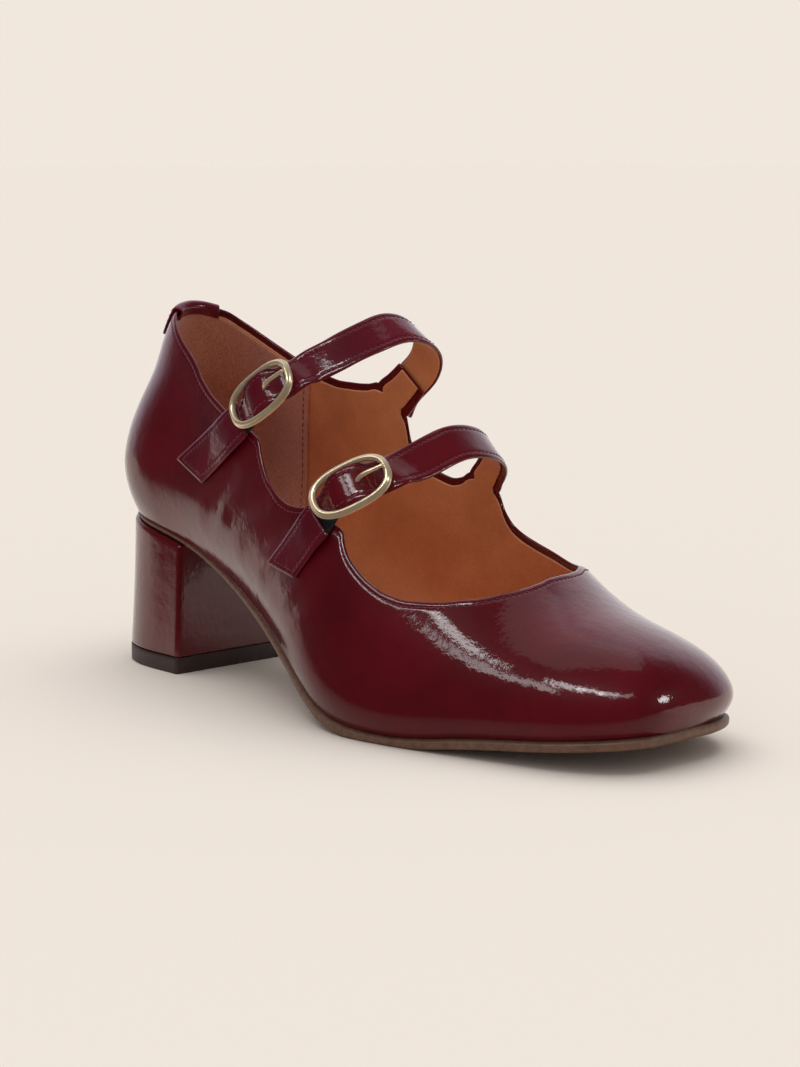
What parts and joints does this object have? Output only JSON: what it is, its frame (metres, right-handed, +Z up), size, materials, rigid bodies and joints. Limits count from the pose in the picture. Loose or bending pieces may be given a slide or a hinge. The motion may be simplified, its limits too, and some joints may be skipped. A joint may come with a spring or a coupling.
{
  "type": "mary jane shoe",
  "caption": "Right-foot mary jane shoe with a soft square toe, scooped sides, buckled instep straps and a leather-covered block heel, standing empty.",
  "frame": {"origin": "centre of the heel's resting face, on the floor", "axes": "+X to the toe, +Y to the inner side of the foot, +Z up"},
  "size_m": [0.2444, 0.0911, 0.1234],
  "materials": {
    "patent": "high-gloss crinkled patent",
    "elastic": "ribbed webbing",
    "gold": "polished plating",
    "footbed": "smooth natural lining",
    "sole_leather": "waxed edge",
    "rubber": "matt"
  },
  "bodies": {
    "root": {"upper": "patent", "strap_rear": "patent", "tab_front": "patent", "tab_rear": "patent", "heel_tab": "patent", "heel": "patent", "elastic_front": "elastic", "elastic_rear": "elastic", "buckle_front": "gold", "buckle_rear": "gold", "prong_front": "gold", "prong_rear": "gold", "insole": "footbed", "outsole": "sole_leather", "top_piece": "rubber"}
  },
  "joints": []
}
